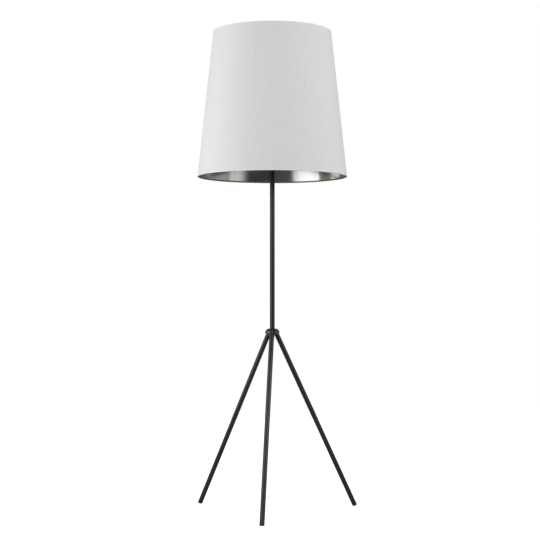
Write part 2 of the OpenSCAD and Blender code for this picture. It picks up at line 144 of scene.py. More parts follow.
@dataclass(frozen=True)
class Finish:
    """A real material with the surface that its making gives it.

    Its sizes are in millimetres: grain is the pattern's spacing and relief its depth.
    """

    name: str
    slot: str
    colour: str
    second_colour: str
    roughness: float
    grain_kind: Grain
    grain: float = 1.0
    relief: float = 0.01
    spread: float = 0.06
    metallic: float = 0.0
    ior: float = 1.5
    sheen: float = 0.0
    coat: float = 0.0
    coat_roughness: float = 0.12
    tint: str = "#FFFFFF"
    subsurface: float = 0.0

    def material(self) -> bpy.types.Material:
        """Makes this finish's material the first time that it is asked for.

        Returns:
            The material.
        """
        known = bpy.data.materials.get(self.name)
        if known:
            return known
        material = bpy.data.materials.new(self.name)
        material.use_nodes = True
        tree = material.node_tree
        tree.nodes.clear()
        shader = add_node(tree, "ShaderNodeBsdfPrincipled", self.constants())
        out = add_node(tree, "ShaderNodeOutputMaterial")
        tree.links.new(shader.outputs["BSDF"], out.inputs["Surface"])
        pattern, height = self.pattern(tree)
        colour = add_node(
            tree, "ShaderNodeMix", {"Factor": pattern}, data_type="RGBA", clamp_factor=True
        )
        colour.inputs["A"].default_value = linear(self.colour)
        colour.inputs["B"].default_value = linear(self.second_colour)
        rough = add_node(
            tree,
            "ShaderNodeMapRange",
            {
                "Value": pattern,
                "To Min": max(self.roughness - self.spread, 0.02),
                "To Max": min(self.roughness + self.spread, 1.0),
            },
        )
        bump = add_node(
            tree, "ShaderNodeBump", {"Height": height, "Distance": self.relief * MM, "Strength": 1.0}
        )
        tree.links.new(colour.outputs["Result"], shader.inputs["Base Color"])
        tree.links.new(rough.outputs["Result"], shader.inputs["Roughness"])
        tree.links.new(bump.outputs["Normal"], shader.inputs["Normal"])
        return material

    def constants(self) -> dict:
        """Gathers what is the same all over the surface.

        Returns:
            A value for each of the shader's inputs, by name.
        """
        values = {
            "Metallic": self.metallic,
            "Sheen Weight": self.sheen,
            "Coat Weight": self.coat,
            "Coat Roughness": self.coat_roughness,
            "Specular Tint": linear(self.tint),
            "Subsurface Weight": self.subsurface,
        }
        if not self.metallic:
            values["IOR"] = self.ior
        return values

    def pattern(self, tree: bpy.types.NodeTree) -> Pattern:
        """Adds the pattern of this finish's grain.

        Args:
            tree: The material's node tree.

        Returns:
            A value from 0 to 1 that mixes the two colours, and a height for the relief.
        """
        if self.grain_kind is Grain.WOVEN:
            return self.weave(tree)
        if self.grain_kind is Grain.FOIL:
            # the film's rolling streaks run up the shade
            return self.streaks(tree, "UV", (1.0, 0.03, 1.0))
        if self.grain_kind is Grain.TURNED:
            # tool and die marks run round the axis or along the tube
            return self.streaks(tree, "Object", (0.12, 0.12, 1.0))
        if self.grain_kind is Grain.PRESSBOARD:
            return self.streaks(tree, "Object", (1.0, 1.0, 0.35))
        return self.streaks(tree, "Object", (1.0, 1.0, 1.0))

    def streaks(self, tree: bpy.types.NodeTree, coordinates: str, stretch: Triple) -> Pattern:
        """Adds a noise of this finish's grain size, stretched along an axis where stretch is small.

        Args:
            tree: The material's node tree.
            coordinates: "Object" or "UV".
            stretch: How often the pattern repeats along each axis, next to its grain size.

        Returns:
            A slow value for colour, and a fine height for the relief.
        """
        place = add_node(tree, "ShaderNodeTexCoord")
        mapping = add_node(
            tree, "ShaderNodeMapping", {"Vector": place.outputs[coordinates], "Scale": stretch}
        )
        fine = add_node(
            tree,
            "ShaderNodeTexNoise",
            {"Vector": mapping.outputs["Vector"], "Scale": 1 / (self.grain * MM), "Detail": 3.0},
        )
        slow = add_node(
            tree,
            "ShaderNodeTexNoise",
            {"Vector": mapping.outputs["Vector"], "Scale": 0.08 / (self.grain * MM), "Detail": 2.0},
        )
        spread = add_node(
            tree, "ShaderNodeMapRange", {"Value": slow.outputs["Fac"], "From Min": 0.3, "From Max": 0.7}
        )
        return spread.outputs["Result"], fine.outputs["Fac"]

    def weave(self, tree: bpy.types.NodeTree) -> Pattern:
        """Adds a plain weave on the cloth's own UV map, with uneven threads up the cloth.

        Args:
            tree: The material's node tree.

        Returns:
            The threads' uneven tone, and the height of the weave.
        """
        place = add_node(tree, "ShaderNodeTexCoord")
        cloth = place.outputs["UV"]
        # one band of the wave texture is 2 pi / 20 of its scaled length
        thread_scale = 2 * math.pi / 20 / (self.grain * MM)
        threads = [
            add_node(
                tree,
                "ShaderNodeTexWave",
                {"Vector": cloth, "Scale": thread_scale, "Distortion": 0.6, "Detail": 1.0},
                bands_direction=direction,
            )
            for direction in ("X", "Y")
        ]
        height = add_node(
            tree,
            "ShaderNodeMath",
            {0: threads[0].outputs["Fac"], 1: threads[1].outputs["Fac"]},
            operation="MAXIMUM",
        )
        # slubs: a thicker thread here and there, a few centimetres to a hand long
        stretched = add_node(tree, "ShaderNodeMapping", {"Vector": cloth, "Scale": (1.0, 0.04, 1.0)})
        slubs = add_node(
            tree,
            "ShaderNodeTexNoise",
            {"Vector": stretched.outputs["Vector"], "Scale": 1 / (2.5 * MM), "Detail": 2.0},
        )
        tone = add_node(
            tree, "ShaderNodeMapRange", {"Value": slubs.outputs["Fac"], "From Min": 0.35, "From Max": 0.75}
        )
        return tone.outputs["Result"], height.outputs["Value"]


# Satin black polyester powder on steel tube: a soft sheen with a faint orange peel.
BLACK_COAT = Finish(
    "satin_black_powder_coat", "black_coat", "#191918", "#1F1F1D", 0.34, Grain.POWDER_COAT,
    grain=1.4, relief=0.006, spread=0.03,
)
# Gloss black lacquer on the turned hub: deep and faintly warm, with crisp highlights.
BLACK_LACQUER = Finish(
    "gloss_black_lacquer", "black_coat", "#100C0B", "#151010", 0.3, Grain.POWDER_COAT,
    grain=2.0, relief=0.006, spread=0.04, coat=1.0, tint="#FFEDE6",
)
# Bright zinc plate on turned steel: cool grey with fine marks round the work.
ZINC = Finish(
    "zinc_plated_steel", "zinc_steel", "#B9BCC0", "#A3A6A8", 0.3, Grain.TURNED,
    grain=0.35, relief=0.004, metallic=1.0,
)
# Clear-lacquered pressed brass: warm, fairly bright, slightly darker where it was drawn most.
BRASS = Finish(
    "lacquered_brass", "brass", "#D8B978", "#BF9A58", 0.24, Grain.TURNED,
    grain=0.4, relief=0.003, metallic=1.0,
)
# Black natural rubber end plug: dull, with a fine moulded texture.
RUBBER = Finish(
    "black_rubber", "black_rubber", "#171717", "#1F1F1E", 0.7, Grain.MOULDED, grain=0.6, relief=0.03,
)
# Moulded black nylon: a soft gloss with a light spark-eroded texture.
NYLON = Finish(
    "moulded_black_nylon", "black_plastic", "#141313", "#1D1B1B", 0.34, Grain.MOULDED,
    grain=0.7, relief=0.01,
)
# Dark brown phenolic moulding: mottled by its wood-flour filler.
PHENOLIC = Finish(
    "phenolic_moulding", "phenolic", "#3A2319", "#2A1811", 0.38, Grain.MOULDED, grain=1.1, relief=0.01,
)
# Vulcanised fibre liner: grey-brown pressed paper with a lengthwise fibre.
PRESSBOARD = Finish(
    "pressboard_liner", "card_liner", "#8A7A63", "#76664F", 0.85, Grain.PRESSBOARD,
    grain=0.5, relief=0.03,
)
# Opal glass, white all through, with a smooth outer skin.
OPAL = Finish(
    "opal_glass", "opal_glass", "#F1F0EB", "#EDECE6", 0.3, Grain.BLOWN,
    grain=9.0, relief=0.02, spread=0.03, coat=0.6, subsurface=0.3,
)
# Bright rolled aluminium of a bulb's screw cap.
CAP_METAL = Finish(
    "rolled_aluminium", "bulb_metal", "#C9CACB", "#B4B5B6", 0.28, Grain.TURNED,
    grain=0.4, relief=0.003, metallic=1.0,
)
# White polycotton laminated to stiff styrene: matt, nearly flat, with faint upright slubs. Its
# threads are half a millimetre apart and are drawn at one, so that they show.
CLOTH = Finish(
    "laminated_white_polycotton", "shade_fabric", "#E9E9EA", "#E3E3E5", 0.88, Grain.WOVEN,
    grain=1.0, relief=0.05, spread=0.04, sheen=0.12,
)
# The same cloth cut as a tape and rolled over the wire rings.
HEM_CLOTH = Finish(
    "rolled_hem_tape", "hem_tape", "#EFEFF0", "#E6E6E8", 0.86, Grain.WOVEN,
    grain=1.0, relief=0.05, spread=0.04, sheen=0.12,
)
# Back of the hem tape, turned in under the ring: matt grey, a painted shade that stands for the shadow
# inside the rim.
HEM_BACK_PAINTED_SHADE = Finish(
    "hem_back_painted_shade", "hem_tape", "#858584", "#787877", 0.9, Grain.WOVEN, grain=1.0, relief=0.05,
)
# Aluminised film on the styrene's inner face: a soft mirror with faint upright streaks.
FOIL = Finish(
    "aluminised_film_lining", "silver_lining", "#C4C4C3", "#B2B2B0", 0.16, Grain.FOIL,
    grain=5.0, relief=0.008, spread=0.05, metallic=1.0,
)
# White stove enamel on the wire rings and spider.
ENAMEL = Finish(
    "white_stove_enamel", "white_wire", "#E6E6E2", "#DDDDD8", 0.3, Grain.POWDER_COAT,
    grain=2.0, relief=0.01,
)


# ---- shapes ------------------------------------------------------------------------------------


@dataclass(frozen=True)
class Round:
    """An upright round node's place: its axis, largest radius and height span."""

    axis: Vector
    radius: float
    low: float
    high: float

    @classmethod
    def of(cls, node: str) -> "Round":
        """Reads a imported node's box as an upright round shape.

        Args:
            node: The node's name.

        Returns:
            Its place.
        """
        low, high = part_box(node)
        middle = (low + high) / 2
        return cls(Vector((middle.x, middle.y, 0)), (high.x - low.x) / 2, low.z, high.z)


def rounded(corners: list[Triple], steps: int = 4) -> Outline:
    """Rounds the corners of a closed outline.

    Args:
        corners: Each corner's radius from the axis, its height and its rounding radius.
        steps: Number of steps in each rounded corner.

    Returns:
        The outline's points.
    """
    points: Outline = []
    for i, (r, z, radius) in enumerate(corners):
        if not radius:
            points.append((r, z))
            continue
        here = Vector((r, z))
        back = (Vector(corners[i - 1][:2]) - here).normalized()
        ahead = (Vector(corners[(i + 1) % len(corners)][:2]) - here).normalized()
        half = back.angle(ahead) / 2
        centre = here + (back + ahead).normalized() * radius / math.sin(half)
        reach = radius / math.tan(half)
        start, end = here + back * reach - centre, here + ahead * reach - centre
        first = math.atan2(start.y, start.x)
        turn = (math.atan2(end.y, end.x) - first + math.pi) % math.tau - math.pi
        for k in range(steps + 1):
            angle = first + turn * k / steps
            points.append((centre.x + radius * math.cos(angle), centre.y + radius * math.sin(angle)))
    return points


def tube_outline(
    bore: float, radius: float, low: float, high: float, edge: float, bore_edge: float = 0.0
) -> Outline:
    """Outlines a plain tube or washer.

    Args:
        bore: Radius of its bore.
        radius: Its outer radius.
        low: Height of its lower end.
        high: Height of its upper end.
        edge: Rounding of its outer edges.
        bore_edge: Rounding of the bore's edges.

    Returns:
        The outline's points.
    """
    return rounded(
        [(bore, low, bore_edge), (radius, low, edge), (radius, high, edge), (bore, high, bore_edge)]
    )


def arc(centre: Point, radius: float, start: float, end: float, steps: int) -> Outline:
    """Returns points on an arc about centre, from one angle to another, in degrees."""
    angles = [math.radians(start + (end - start) * k / steps) for k in range(steps + 1)]
    return [(centre[0] + radius * math.cos(a), centre[1] + radius * math.sin(a)) for a in angles]


def bezier(start: Point, pull_start: Point, pull_end: Point, end: Point, steps: int) -> Outline:
    """Draws a cubic curve between two points.

    Args:
        start: Where it starts.
        pull_start: The handle at its start.
        pull_end: The handle at its end.
        end: Where it ends.
        steps: Number of steps along it.

    Returns:
        The curve's points, with both its ends.
    """
    spots = [Vector(spot) for spot in (start, pull_start, pull_end, end)]
    points: Outline = []
    for k in range(steps + 1):
        t = k / steps
        weights = ((1 - t) ** 3, 3 * t * (1 - t) ** 2, 3 * t * t * (1 - t), t**3)
        points.append(tuple(sum((w * spot for w, spot in zip(weights, spots)), Vector((0, 0)))))
    return points


def lathe(outline: Outline, axis: Vector, steps: int = 64, closed: bool = True) -> bmesh.types.BMesh:
    """Turns an outline about an upright axis.

    Args:
        outline: Radius and height of each point. A solid's outline starts and ends on the axis.
        axis: A point on the axis.
        steps: Steps round the axis.
        closed: Whether the last point joins the first, as on a hollow piece.

    Returns:
        The turned mesh, with its faces outwards.
    """
    bm = bmesh.new()
    verts = [bm.verts.new((axis.x + r, axis.y, z)) for r, z in outline]
    pairs = list(zip(verts, verts[1:])) + ([(verts[-1], verts[0])] if closed else [])
    edges = [bm.edges.new(pair) for pair in pairs]
    bmesh.ops.spin(
        bm, geom=verts + edges, axis=UP, cent=axis, angle=math.tau, steps=steps, use_merge=True
    )
    bmesh.ops.remove_doubles(bm, verts=bm.verts, dist=TURNED_MERGE)
    bmesh.ops.recalc_face_normals(bm, faces=bm.faces)
    return bm


def rows_between(low: float, high: float, rows: int) -> list[float]:
    """Returns evenly spaced heights with both ends."""
    return [low + (high - low) * k / rows for k in range(rows + 1)]


def rims_bevelled(bm: bmesh.types.BMesh, edge: float) -> None:
    """Bevels the level edges of an upright prism."""
    rims = [e for e in bm.edges if abs(e.verts[0].co.z - e.verts[1].co.z) < SAME]
    bmesh.ops.bevel(
        bm, geom=rims, offset=edge, segments=2, profile=0.5, affect="EDGES", material=-1
    )


def rod(start: Vector, end: Vector, radius: float, edge: float, steps: int = 32) -> bmesh.types.BMesh:
    """Makes a round rod between two points.

    Args:
        start: Centre of one end.
        end: Centre of the other end.
        radius: The rod's radius.
        edge: Bevel of the end edges.
        steps: Sides of the rod.

    Returns:
        The rod's mesh.
    """
    along = end - start
    bm = bmesh.new()
    bmesh.ops.create_cone(
        bm, cap_ends=True, segments=steps, radius1=radius, radius2=radius, depth=along.length
    )
    rims_bevelled(bm, edge)
    turn = UP.rotation_difference(along).to_matrix().to_4x4()
    place = Matrix.Translation((start + end) / 2) @ turn
    bmesh.ops.transform(bm, matrix=place, verts=bm.verts)
    return bm


def joined(parts: list[bmesh.types.BMesh]) -> bmesh.types.BMesh:
    """Puts several meshes in one, and frees them.

    Args:
        parts: The meshes.

    Returns:
        The one that holds them all.
    """
    whole = bmesh.new()
    for part in parts:
        mesh = bpy.data.meshes.new("part")
        part.to_mesh(mesh)
        part.free()
        whole.from_mesh(mesh)
        bpy.data.meshes.remove(mesh)
    return whole


def threaded(
    bm: bmesh.types.BMesh, axis: Vector, depth: float, pitch: float, low: float, high: float
) -> None:
    """Rolls a round screw thread into an upright tube by moving its rows of vertices in and out.

    Args:
        bm: The tube, with rows of vertices closer than a quarter of the pitch.
        axis: A point on the tube's axis.
        depth: Depth of the thread.
        pitch: Rise of the thread in one turn.
        low: Height at which the thread starts.
        high: Height at which it ends.
    """
    for vert in bm.verts:
        out = Vector((vert.co.x - axis.x, vert.co.y - axis.y, 0))
        fade = min(max(vert.co.z - low, 0), max(high - vert.co.z, 0), pitch / 2) / (pitch / 2)
        phase = math.tau * vert.co.z / pitch - math.atan2(out.y, out.x)
        vert.co -= out.normalized() * depth * fade * (0.5 - 0.5 * math.cos(phase))


@dataclass
class Wire:
    """A round wire drawn out length by length, in the XZ plane of the lamp."""

    radius: float
    place: Vector
    sides: int = 20

    def __post_init__(self) -> None:
        """Starts the wire with a ring of edges, heading up."""
        self.bm = bmesh.new()
        self.heading = 0.0
        bmesh.ops.create_circle(
            self.bm, cap_ends=True, segments=self.sides, radius=self.radius,
            matrix=Matrix.Translation(self.place),
        )
        self.ring = list(self.bm.edges)

    def draw_on(self) -> list[bmesh.types.BMVert]:
        """Draws a new ring of edges out of the last one.

        Returns:
            The new ring's vertices.
        """
        made = bmesh.ops.extrude_edge_only(self.bm, edges=self.ring)["geom"]
        new_verts = [g for g in made if isinstance(g, bmesh.types.BMVert)]
        self.ring = [
            g for g in made
            if isinstance(g, bmesh.types.BMEdge) and all(v in new_verts for v in g.verts)
        ]
        return new_verts

    def straight(self, length: float) -> None:
        """Goes straight on for a length."""
        step = Vector((math.sin(self.heading), 0, math.cos(self.heading))) * length
        bmesh.ops.translate(self.bm, verts=self.draw_on(), vec=step)
        self.place = self.place + step

    def bend(self, radius: float, degrees: float, steps: int) -> None:
        """Bends on about a centre beside the wire.

        Args:
            radius: The bend's radius, to the wire's middle.
            degrees: How far it bends, above 0 towards +X from upright.
            steps: Number of steps in the bend.
        """
        side = math.copysign(radius, degrees)
        centre = self.place + Vector((math.cos(self.heading), 0, -math.sin(self.heading))) * side
        turn = Matrix.Rotation(math.radians(degrees) / steps, 4, "Y")
        for _ in range(steps):
            bmesh.ops.rotate(self.bm, verts=self.draw_on(), cent=centre, matrix=turn)
            self.place = centre + turn @ (self.place - centre)
        self.heading += math.radians(degrees)

    def cut_off(self) -> bmesh.types.BMesh:
        """Closes the wire's end.

        Returns:
            The wire's mesh.
        """
        bmesh.ops.contextual_create(self.bm, geom=self.ring)
        bmesh.ops.recalc_face_normals(self.bm, faces=self.bm.faces)
        return self.bm


def refined(node: str, frame: dict) -> bmesh.types.BMesh:
    """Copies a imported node's mesh with its loose triangles merged and its flat faces cleared.

    Args:
        node: The node's name.
        frame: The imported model.

    Returns:
        The copy.
    """
    bm = bmesh.new()
    bm.from_mesh(frame["nodes"][node].data)
    bmesh.ops.remove_doubles(bm, verts=bm.verts, dist=PACKED_MERGE)
    bmesh.ops.dissolve_limit(
        bm, angle_limit=FLAT_ANGLE, verts=bm.verts, edges=bm.edges, use_dissolve_boundaries=False
    )
    return bm


def finished(
    name: str,
    bm: bmesh.types.BMesh,
    finish: Finish,
    body: str,
    stands_for: tuple[str, ...] = (),
    edge: float = 0.0,
) -> bpy.types.Object:
    """Makes a mesh a piece of the lamp.

    Args:
        name: The piece's name.
        bm: Its mesh, which is freed.
        finish: What it is made of.
        body: The body that it moves with.
        stands_for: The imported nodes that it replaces.
        edge: Rounding of its sharp edges, or 0 to leave them.

    Returns:
        The piece.
    """
    mesh = bpy.data.meshes.new(name)
    bm.to_mesh(mesh)
    bm.free()
    mesh.shade_smooth()
    mesh.set_sharp_from_angle(angle=SMOOTH_ANGLE)
    mesh.materials.append(finish.material())
    piece = bpy.data.objects.new(name, mesh)
    bpy.context.scene.collection.objects.link(piece)
    if edge:
        bevel = piece.modifiers.new("rounded_edges", "BEVEL")
        bevel.width, bevel.segments, bevel.limit_method = edge, 2, "ANGLE"
        bevel.angle_limit = SMOOTH_ANGLE
        bevel.use_clamp_overlap = True
    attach(piece, body)
    if stands_for:
        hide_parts(*stands_for)
    LOG.info("%s: %s on %s", name, finish.name, body)
    return piece


def dressed(frame: dict, finish: Finish, *nodes: str) -> None:
    """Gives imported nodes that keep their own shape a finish.

    Args:
        frame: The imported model.
        finish: What they are made of.
        *nodes: Their names.
    """
    for node in nodes:
        slots = frame["nodes"][node].data.materials
        slots.clear()
        slots.append(finish.material())
        LOG.info("%s: packed shape in %s", node, finish.name)


# ---- the lamp's sub-assemblies -----------------------------------------------------------------


@dataclass
class Base:
    """The hub, its three legs with their feet, and the nut and cord bushing under it."""

    frame: dict
    leg_wall: float = 1.2 * MM
    tube_edge: float = 0.25 * MM
    hub_edge: float = 0.8 * MM
    nut_edge: float = 0.5 * MM
    small_edge: float = 0.3 * MM
    bushing_lip: float = 1.6 * MM
    cord_bore: float = 3.2 * MM

    def leg_ends(self, node: str) -> tuple[Vector, Vector]:
        """Finds the middle of a leg's lower and upper ends.

        Args:
            node: The leg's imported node.

        Returns:
            The centre of the lower end and of the upper one.
        """
        points = [v.co.copy() for v in self.frame["nodes"][node].data.vertices]
        low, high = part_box(node)
        half_way = (low.z + high.z) / 2
        ends = []
        for side in (-1, 1):
            rim = [p for p in points if (p.z - half_way) * side > 0]
            ends.append(
                Vector([(min(p[i] for p in rim) + max(p[i] for p in rim)) / 2 for i in range(3)])
            )
        return ends[0], ends[1]

    def leg(self, side: str) -> None:
        """Builds one leg tube.

        Args:
            side: "front", "right" or "left".
        """
        low, high = self.leg_ends(f"leg_{side}")
        radius, length = Round.of("leg_front").radius, (high - low).length
        outline = tube_outline(radius - self.leg_wall, radius, 0, length, self.tube_edge)
        bm = lathe(outline, Vector((0, 0, 0)), steps=48)
        turn = UP.rotation_difference(high - low).to_matrix().to_4x4()
        bmesh.ops.transform(bm, matrix=Matrix.Translation(low) @ turn, verts=bm.verts)
        finished(f"leg_tube_{side}", bm, BLACK_COAT, "root", (f"leg_{side}",))

    def foot(self, side: str) -> None:
        """Dresses one foot: the end plug of a leg, with its flat on the floor."""
        node = f"foot_{side}"
        plug = refined(node, self.frame)
        finished(f"end_plug_{side}", plug, RUBBER, "root", (node,), self.small_edge)

    def fixings(self) -> None:
        """Builds the nut, washer and cord bushing under the hub."""
        nut = Round.of("hub_nut")
        bm = bmesh.new()
        bmesh.ops.create_cone(
            bm, cap_ends=True, segments=6, radius1=nut.radius, radius2=nut.radius,
            depth=nut.high - nut.low,
            matrix=Matrix.Translation(nut.axis + UP * (nut.low + nut.high) / 2)
            @ Matrix.Rotation(math.pi / 2, 4, "Z"),
        )
        rims_bevelled(bm, self.nut_edge)
        finished("lock_nut", bm, ZINC, "root", ("hub_nut",))

        washer, pipe, edge = Round.of("hub_washer"), Round.of("lamp_pipe"), self.small_edge
        outline = tube_outline(pipe.radius, washer.radius, washer.low, washer.high, edge)
        finished("flat_washer", lathe(outline, washer.axis), ZINC, "root", ("hub_washer",))

        bushing, bore, lip = Round.of("cord_bushing"), self.cord_bore, self.bushing_lip
        outline = rounded(
            [
                (bore, bushing.low, lip), (bushing.radius, bushing.low, lip),
                (bushing.radius, bushing.high, edge), (pipe.radius, bushing.high, 0),
                (pipe.radius, pipe.low, 0), (bore, pipe.low, 0),
            ]
        )
        finished("inlet_bushing", lathe(outline, bushing.axis), NYLON, "root", ("cord_bushing",))

    def build(self) -> None:
        """Builds the whole base."""
        hub = refined("hub", self.frame)
        finished("turned_hub", hub, BLACK_LACQUER, "root", ("hub",), self.hub_edge)
        for side in ("front", "right", "left"):
            self.leg(side)
            self.foot(side)
        self.fixings()
        dressed(self.frame, ZINC, "leg_inserts", "leg_studs", "lamp_pipe")


@dataclass
class Column:
    """The stem tube and the cap that closes its top."""

    wall: float = 1.2 * MM
    edge: float = 0.3 * MM
    cap_edge: float = 1.0 * MM
    cap_fit: float = 0.1 * MM

    def build(self) -> None:
        """Builds the stem and its cap."""
        stem = Round.of("stem")
        bore = stem.radius - self.wall
        outline = tube_outline(bore, stem.radius, stem.low, stem.high, self.edge)
        finished("stem_tube", lathe(outline, stem.axis), BLACK_COAT, "root", ("stem",))

        cap, pipe = Round.of("stem_cap"), Round.of("lamp_pipe")
        spigot = bore - self.cap_fit
        outline = rounded(
            [
                (pipe.radius, cap.low, 0), (spigot, cap.low, self.edge), (spigot, stem.high, 0),
                (cap.radius, stem.high, self.edge), (cap.radius, cap.high, self.cap_edge),
                (pipe.radius, cap.high, 0),
            ]
        )
        finished("turned_stem_cap", lathe(outline, cap.axis), BLACK_COAT, "root", ("stem_cap",))


@dataclass
class Harp:
    """The bent wire that carries the shade, its saddle, its stud and its two locking sleeves."""

    frame: dict
    foot_straight: float = 30 * MM
    shoulder_radius: float = 30 * MM
    shoulder_bend: float = 35.0
    bend_steps: int = 10
    arch_steps: int = 60
    sleeve_bore: float = 2.3 * MM
    sleeve_flare: float = 0.5 * MM
    small_edge: float = 0.3 * MM
    saddle_edge: float = 0.4 * MM

    def wire(self) -> None:
        """Draws the harp in one length from its right foot, over the arch, to its left foot."""
        low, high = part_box("harp")
        foot = Round.of("harp_sleeve_right").axis
        radius = (high.y - low.y) / 2
        arch = high.x - radius
        bend = math.radians(self.shoulder_bend)
        drift = 2 * self.shoulder_radius * (1 - math.cos(bend))
        slope = (arch - foot.x - drift) / math.sin(bend)
        shoulder_rise = 2 * self.shoulder_radius * math.sin(bend) + slope * math.cos(bend)
        side = (high.z - radius - arch) - (low.z + self.foot_straight + shoulder_rise)

        wire = Wire(radius, foot + UP * low.z)
        wire.straight(self.foot_straight)
        wire.bend(self.shoulder_radius, self.shoulder_bend, self.bend_steps)
        wire.straight(slope)
        wire.bend(self.shoulder_radius, -self.shoulder_bend, self.bend_steps)
        wire.straight(side)
        wire.bend(arch, -180, self.arch_steps)
        wire.straight(side)
        wire.bend(self.shoulder_radius, -self.shoulder_bend, self.bend_steps)
        wire.straight(slope)
        wire.bend(self.shoulder_radius, self.shoulder_bend, self.bend_steps)
        wire.straight(self.foot_straight)
        finished("harp_wire", wire.cut_off(), BRASS, "root", ("harp",))

    def sleeve(self, side: str) -> None:
        """Turns one locking sleeve, waisted so that fingers can lift it.

        Args:
            side: "left" or "right".
        """
        node = f"harp_sleeve_{side}"
        sleeve = Round.of(node)
        waist = sleeve.radius - self.sleeve_flare
        lip, edge = (sleeve.high - sleeve.low) / 6, self.small_edge
        outline = rounded(
            [
                (self.sleeve_bore, sleeve.low, 0), (sleeve.radius, sleeve.low, edge),
                (sleeve.radius, sleeve.low + lip, edge), (waist, sleeve.low + 1.5 * lip, edge),
                (waist, sleeve.high - 1.5 * lip, edge), (sleeve.radius, sleeve.high - lip, edge),
                (sleeve.radius, sleeve.high, edge), (self.sleeve_bore, sleeve.high, 0),
            ]
        )
        bm = lathe(outline, sleeve.axis, 40)
        finished(f"locking_sleeve_{side}", bm, BRASS, f"sleeve_{side}", (node,))

    def build(self) -> None:
        """Builds the harp and what holds it."""
        self.wire()
        self.sleeve("left")
        self.sleeve("right")
        saddle = refined("harp_saddle", self.frame)
        finished("pressed_saddle", saddle, BRASS, "root", ("harp_saddle",), self.saddle_edge)
        stud = refined("harp_stud", self.frame)
        finished("riveted_stud", stud, BRASS, "root", ("harp_stud",), self.small_edge)


@dataclass
class Socket:
    """The lamp holder: brass cap and shell, liner, moulded body, contacts and rotary switch."""

    frame: dict
    shell_wall: float = 0.8 * MM
    bead: float = 0.7 * MM
    bead_width: float = 2 * MM
    bead_drop: float = 8 * MM
    bead_foot: float = 0.5 * MM
    bead_crown: float = 0.6 * MM
    small_edge: float = 0.3 * MM
    cap_wall: float = 1.0 * MM
    cap_fit: float = 0.1 * MM
    cap_shoulder: float = 0.4
    cap_flare: float = 0.7
    cap_foot: float = 0.5 * MM
    cap_waist: float = 1.5 * MM
    cap_swell: float = 2.5 * MM
    cap_hollow: float = 2 * MM
    cap_mouth: float = 0.4 * MM
    neck_wall: float = 3 * MM
    screw_wall: float = 0.5 * MM
    screw_rows: int = 56
    contact_hole: float = 6.6 * MM
    knob_edge: float = 0.6 * MM

    def shell(self) -> None:
        """Turns the brass shell with a bead below its mouth and a rolled lip."""
        shell = Round.of("socket_shell")
        inner, outer, edge = shell.radius - self.shell_wall, shell.radius, self.small_edge
        bead_z, width, wide = shell.high - self.bead_drop, self.bead_width, outer + self.bead
        foot, crown = self.bead_foot, self.bead_crown
        outline = rounded(
            [
                (inner, shell.low, 0), (outer, shell.low, edge),
                (outer, bead_z - width, foot), (wide, bead_z - width / 2, crown),
                (wide, bead_z + width / 2, crown), (outer, bead_z + width, foot),
                (outer, shell.high, edge), (inner, shell.high, edge),
            ]
        )
        finished("brass_shell", lathe(outline, shell.axis, 72), BRASS, "root", ("socket_shell",))

    def cap(self) -> None:
        """Turns the brass cap that screws on the pipe, flared to take the shell.

        Its shoulder and flare are parts of its height, and the other sizes round its corners.
        """
        cap, shell, pipe = Round.of("socket_cap"), Round.of("socket_shell"), Round.of("lamp_pipe")
        wall, neck, rise = self.cap_wall, pipe.radius + self.neck_wall, cap.high - cap.low
        inner = shell.radius + self.cap_fit
        shoulder, flare = cap.low + self.cap_shoulder * rise, cap.low + self.cap_flare * rise
        outline = rounded(
            [
                (pipe.radius, cap.low, 0), (neck, cap.low, self.cap_foot),
                (neck, shoulder, self.cap_waist), (cap.radius, flare, self.cap_swell),
                (cap.radius, cap.high, self.cap_mouth), (inner, cap.high, 0),
                (inner, flare + wall, self.cap_hollow),
                (neck - wall, shoulder + wall, 0), (pipe.radius, shoulder + wall, 0),
            ]
        )
        finished("brass_cap", lathe(outline, cap.axis, 72), BRASS, "root", ("socket_cap",))

    def screw_shell(self) -> None:
        """Draws the shell that the bulb screws into: a plain cup, open round the contact."""
        shell, hole = Round.of("screw_shell"), self.contact_hole
        inner, floor = shell.radius - self.screw_wall, shell.low + self.screw_wall
        heights = rows_between(shell.low, shell.high, self.screw_rows)
        outline = [(shell.radius, z) for z in heights]
        outline += [(inner, z) for z in reversed(heights[1:])]
        outline += [(inner, floor), (hole, floor), (hole, shell.low)]
        bm = lathe(outline, shell.axis, 72)
        finished("rolled_screw_shell", bm, BRASS, "root", ("screw_shell",))

    def knob(self) -> None:
        """Rounds the switch knob's paddle and collar."""
        knob = refined("switch_knob", self.frame)
        finished("paddle_knob", knob, NYLON, "switch", ("switch_knob",), self.knob_edge)

    def build(self) -> None:
        """Builds the lamp holder."""
        self.shell()
        self.cap()
        self.screw_shell()
        self.knob()
        dressed(self.frame, ZINC, "cap_set_screw", "terminal_screws", "switch_shaft")
        dressed(self.frame, PRESSBOARD, "socket_insulator")
        dressed(self.frame, PHENOLIC, "socket_body")
        dressed(self.frame, BRASS, "centre_contact")


